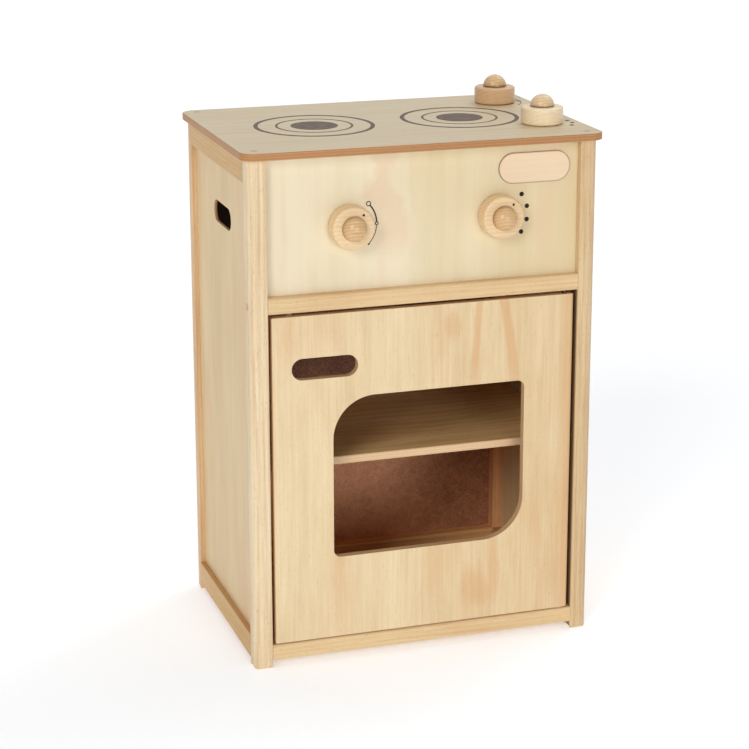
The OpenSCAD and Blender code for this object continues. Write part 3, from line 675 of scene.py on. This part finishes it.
round_edges(window, tight_corner, 10, "y", lambda spot: True)
cut(door, window)
slot_middle = (low.x + slot_to_side + hole_length / 2, middle.y, high.z - slot_to_top - hole_height / 2)
cut(door, slot_cutter("y", slot_middle, hole_length, hole_height))
sand(door, door_easing, 3)
pin_line = sum(corner[0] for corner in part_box("upper_hinge_pin")) / 2
for start, end in ((low.z - mm, low.z + pin_bore_depth), (high.z - pin_bore_depth, high.z + mm)):
    bore(door, pin_bore, (pin_line, middle.y, start), (pin_line, middle.y, end))
shade(door)
fit(door, "door", "door_leaf", door_ply)


# Dials. Four discs turned from solid wood, with both rims rounded, that spin on their pegs. One is turned
# here about its axis and then copied into its four places.
dial_radius, dial_depth, dial_rim = 22.8 * mm, 18.5 * mm, 2.5 * mm
dial_bore, dial_gap = 5.08 * mm, 0.4 * mm


def turn_on_lathe(name, steps=72):
    """Spins the outline that is being edited about the vertical axis into a closed solid."""
    bpy.ops.mesh.select_all(action="SELECT")
    bpy.ops.mesh.delete(type="ONLY_FACE")
    bpy.ops.mesh.select_all(action="SELECT")
    bpy.ops.mesh.spin(steps=steps, angle=2 * math.pi, center=(0, 0, 0), axis=(0, 0, 1))
    bpy.ops.mesh.select_all(action="SELECT")
    bpy.ops.mesh.remove_doubles(threshold=0.001 * mm)
    bpy.ops.mesh.normals_make_consistent(inside=False)
    bpy.ops.object.mode_set(mode="OBJECT")
    bpy.context.object.name = bpy.context.object.data.name = name
    return bpy.context.object


def copy_to(pattern, name, seat):
    """Copies a piece with its own mesh into its place."""
    piece = pattern.copy()
    piece.data = pattern.data.copy()
    piece.data.transform(seat)
    piece.name = piece.data.name = name
    bpy.context.scene.collection.objects.link(piece)
    return piece


only(None)
bpy.ops.mesh.primitive_plane_add(size=1, rotation=(math.pi / 2, 0, 0),
                                 location=((dial_bore + dial_radius) / 2, 0, dial_gap + dial_depth / 2))
bpy.context.object.scale = (dial_radius - dial_bore, dial_depth, 1)
bpy.ops.object.transform_apply(location=True, rotation=True, scale=True)
bpy.ops.object.mode_set(mode="EDIT")
bpy.ops.mesh.select_all(action="DESELECT")
shape = bmesh.from_edit_mesh(bpy.context.object.data)
for corner in shape.verts:
    corner.select_set(corner.co.x > dial_radius - mm)
bmesh.update_edit_mesh(bpy.context.object.data)
bpy.ops.mesh.bevel(offset=dial_rim, segments=7, affect="VERTICES")
turned_dial = turn_on_lathe("turned_dial")

on_panel = Matrix.Rotation(math.pi / 2, 4, "X")
panel_face, board_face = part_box("control_panel")[0][1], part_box("top_board")[1][2]
seats = {}
for name, (x, y, z) in dial_places.items():
    if "panel" in name:
        seats[name] = Matrix.Translation((x, panel_face, z)) @ on_panel
    else:
        seats[name] = Matrix.Translation((x, y, board_face))

for name, pale, deep, shift in (("left_panel_dial", (236, 208, 164), (208, 168, 118), (3, 40, 9)),
                                ("right_panel_dial", (236, 208, 164), (208, 168, 118), (50, 12, 6)),
                                ("front_top_dial", (250, 232, 198), (228, 198, 152), (8, 71, 33)),
                                ("rear_top_dial", (222, 184, 140), (192, 148, 104), (90, 14, 60))):
    turned_wood = wood(name.replace("_dial", "_turned_wood"), "x", pale, deep, (222, 176, 128), shift=shift,
                       stack=(0.55, 1), spacing=4.6, bends=1.2, bend_width=30,
                       lines=0.22, streaks=0.6, clouds=0.7, pores=0.3, gloss=0.4, varnish=0.25)
    dial = copy_to(turned_dial, name.replace("_dial", "_knob"), seats[name])
    shade(dial)
    fit(dial, name, name + "_turn", turned_wood)
bpy.data.meshes.remove(turned_dial.data)


# Pegs. Dome-headed wooden pegs glued into the boards through the middles of the dials, which turn on them.
dome_radius, dome_height = 13.2 * mm, 12.6 * mm
ball_radius = (dome_radius ** 2 + dome_height ** 2) / (2 * dome_height)
shaft_radius, board_depth = 5 * mm, 8 * mm
dome_base = dial_gap + dial_depth + dial_gap
peg_easing = 0.4 * mm

only(None)
bpy.ops.mesh.primitive_uv_sphere_add(segments=64, ring_count=40, radius=ball_radius,
                                     location=(0, 0, dome_base + dome_height - ball_radius))
bpy.ops.object.transform_apply(location=True, rotation=True, scale=True)
bpy.ops.object.mode_set(mode="EDIT")
bpy.ops.mesh.select_all(action="SELECT")
bpy.ops.mesh.bisect(plane_co=(0, 0, dome_base), plane_no=(0, 0, 1), use_fill=True, clear_inner=True)
bpy.ops.mesh.select_mode(type="FACE")
bpy.ops.mesh.select_all(action="DESELECT")
shape = bmesh.from_edit_mesh(bpy.context.object.data)
for face in shape.faces:
    face.select_set(face.normal.z < -0.99 and face.calc_center_median().z < dome_base + 0.01 * mm)
bmesh.update_edit_mesh(bpy.context.object.data)
bpy.ops.mesh.inset(thickness=dome_radius - shaft_radius)
bpy.ops.mesh.extrude_region_move(TRANSFORM_OT_translate={"value": (0, 0, -dome_base - board_depth)})
bpy.ops.object.mode_set(mode="OBJECT")
domed_peg = bpy.context.object
sand(domed_peg, peg_easing)


def dome_foot_shade(seat, shift):
    """Painted shade around the foot of a dome: a dark line just above it and a deeper tone that fades out over
    a few millimetres.
    """
    way = seat.to_3x3() @ Vector((0, 0, 1))
    foot = (seat @ Vector((0, 0, dome_base)) / mm + Vector(shift)).dot(way)

    def marks(finish, place):
        """Measures how far a place stands out from the foot."""
        out = finish.add("VectorMath", {"operation": "DOT_PRODUCT"}, {0: place, 1: tuple(way)}, "Value")
        # Painted shade: the dark line lies within about two millimetres of the foot, the deeper tone within
        # six.
        line = finish.ramp(out, foot + 0.5, foot + 2.2, 0.7, 0.0)
        return finish.ramp(out, foot + 1.0, foot + 6.0, 0.5, 0.0), 0.0, line

    return marks


brown_peg = (226, 190, 138), (176, 128, 80), (200, 146, 94)
pale_peg = (234, 208, 164), (196, 158, 112), (214, 172, 124)
for number, (name, seat) in enumerate(seats.items()):
    shift = (17 * number, 23, 41)
    peg_wood = wood(name.replace("_dial", "_peg_wood"), "x", *(pale_peg if "front" in name else brown_peg),
                    shift=shift, stack=(0.35, 1), spacing=3.4, bends=0.9, bend_width=22,
                    lines=0.24, streaks=0.6, clouds=0.9, pores=0.35, gloss=0.36, varnish=0.4,
                    marks=dome_foot_shade(seat, shift))
    peg = copy_to(domed_peg, name.replace("_dial", "_dome"), seat)
    shade(peg)
    fit(peg, name.replace("_dial", "_peg"), "cabinet", peg_wood)
bpy.data.meshes.remove(domed_peg.data)


# Printed marks. Dark ink on the boards and on the faces of the dials: level arcs, dots, pointers and the
# two burners, whose rings are a little greyer and thinner in places.
def ink(name, dark, faded, wear):
    """Screen-printed ink: nearly even, thinner here and there where the wood shows through."""
    finish = Finish(name)
    spot = finish.spot()
    thin = finish.noise(spot, 160.0, 4.0, 0.65)
    grain = finish.noise(spot, 900.0)
    colour = finish.between(finish.ramp(thin + grain * 0.3, -wear, wear), dark, faded)
    return finish.surface(colour, 0.6 + grain * 0.2, grain, 0.03, Specular_IOR_Level=0.2)


dark_ink = ink("dark_print", paint(26, 18, 14), paint(50, 38, 30), 0.25)
burner_ink = ink("burner_print", paint(86, 73, 66), paint(112, 97, 86), 0.2)
for name in ("left_dial_arc", "right_dial_dots", "rear_dial_arc", "front_dial_dots", "left_panel_pointer",
             "right_panel_pointer", "front_top_pointer", "rear_top_pointer"):
    colour_node(name, dark_ink)
for name in ("left_burner_print", "right_burner_print"):
    colour_node(name, burner_ink)


# Dowels and the door's stop peg. Round sticks glued in, whose end grain shows as small greyish dots on the
# top board and as a dot on the side of each front post.
dowel_wood = wood("dowel_wood", "z", (226, 192, 144), (176, 140, 98), (200, 156, 110),
                  stack=(1, 0.4), spacing=1.6, bends=0.6, bend_width=9,
                  lines=0.4, streaks=0.7, clouds=0.6, pores=0.5)
grey_dowel_wood = wood("grey_dowel_wood", "z", (178, 164, 138), (134, 120, 98), (158, 138, 110),
                       stack=(1, 0.4), spacing=1.6, bends=0.6, bend_width=9,
                       lines=0.4, streaks=0.7, clouds=0.6, pores=0.5)
for name in ("rail_dowels", "door_stop_peg"):
    colour_node(name, dowel_wood)
colour_node("top_board_dowels", grey_dowel_wood)


# Metal and nylon. Drawn steel hinge pins and small steel nails in the back panel, both dull, painted a dark
# brownish tone as painted shade for the gaps the pins sit in, and the thin white nylon washer under the
# door, painted greyish as painted shade for the gap it sits in.
steel = Finish("drawn_steel")
spot = steel.spot()
scuff = steel.noise(spot, 700.0, 4.0)
dull = steel.noise(spot, 120.0)
# Painted shade: dark brownish steel, for the gaps where the pins sit; the nails share it.
tone = steel.between(0.5 + dull, paint(72, 54, 40), paint(98, 76, 56))
drawn_steel = steel.surface(tone, 0.34 + scuff * 0.3, scuff, 0.02, Metallic=1.0)
for name in ("upper_hinge_pin", "lower_hinge_pin", "back_panel_nails"):
    colour_node(name, drawn_steel)

nylon = Finish("white_nylon")
cloudy = nylon.noise(nylon.spot(), 300.0, 3.0)
# Painted shade: a greyish tone on the white nylon, for the gap under the door.
tone = nylon.between(0.5 + cloudy, paint(150, 140, 122), paint(168, 158, 140))
colour_node("hinge_washer", nylon.surface(tone, 0.425 + cloudy * 0.15, cloudy, 0.02))


# Floor, light and camera. A plain white floor, soft light mainly from the left front and from straight
# ahead, weaker from above and behind, and a long lens a little above the oven and to its left.
floor_size = 40
floor_white, floor_mottle = (0.82, 0.84, 0.875, 1), (0.83, 0.85, 0.885, 1)
floor_glow = 0.41
seen_sky = 0.8
sky_not_cast = 0.71
camera_place = (-0.744415, -2.238122, 0.976576)
camera_turn, camera_dip, camera_tilt = (math.radians(angle) for angle in (18.465, 15.521, 0.045))

only(None)
bpy.ops.mesh.primitive_plane_add(size=floor_size, location=(0, 0, 0))
floor = bpy.context.object
floor.name = "studio_floor"
paper = Finish("floor_paper")
mottle = 0.5 + paper.noise(paper.spot(), 3.0)
floor.data.materials.append(paper.surface(paper.between(mottle, floor_white, floor_mottle), 0.9,
                                          Specular_IOR_Level=0.0, Emission_Color=(1, 1, 1, 1),
                                          Emission_Strength=floor_glow))


def soft_light(name, direction, strength, spread):
    """A wide, even studio light that comes from one direction. The strength is how bright a white sheet that
    faces it looks, where 1 is white; the spread is how wide the light stands in the sky, in degrees."""
    lamp = bpy.data.lights.new(name, "SUN")
    lamp.energy = strength * math.pi
    lamp.angle = math.radians(spread)
    holder = bpy.data.objects.new(name, lamp)
    holder.rotation_euler = Vector(direction).to_track_quat("Z", "Y").to_euler()
    bpy.context.scene.collection.objects.link(holder)


soft_light("overhead_light", (0.05, 0.0, 1.0), 0.25, 60)
soft_light("rear_right_light", (0.60, 0.30, 0.75), 0.20, 30)
soft_light("rear_light", (0.10, 0.65, 0.75), 0.12, 60)
soft_light("left_light", (-0.60, -0.66, 0.43), 0.38, 26)
soft_light("front_light", (0.08, -0.98, 0.14), 0.25, 22)

scene = bpy.context.scene
scene.world = scene.world or bpy.data.worlds.new("studio")
scene.world.use_nodes = True
studio = scene.world.node_tree
studio.nodes["Background"].inputs["Color"].default_value = (1, 1, 1, 1)
rays = studio.nodes.new("ShaderNodeLightPath")
white_walls = seen_sky - Value(studio, rays.outputs["Is Diffuse Ray"]) * sky_not_cast
studio.links.new(white_walls.socket, studio.nodes["Background"].inputs["Strength"])
scene.view_settings.view_transform = "Standard"

lens = bpy.data.cameras.new("long_lens")
lens.lens, lens.sensor_width = 106.521, 36
lens.shift_x, lens.shift_y = -0.0239, -0.0510
lens.clip_start, lens.clip_end = 0.1, 100
camera = bpy.data.objects.new("camera", lens)
camera.matrix_world = (Matrix.Translation(camera_place) @ Matrix.Rotation(-camera_turn, 4, "Z")
                       @ Matrix.Rotation(math.pi / 2 - camera_dip, 4, "X")
                       @ Matrix.Rotation(camera_tilt, 4, "Z"))
scene.collection.objects.link(camera)
scene.camera = camera
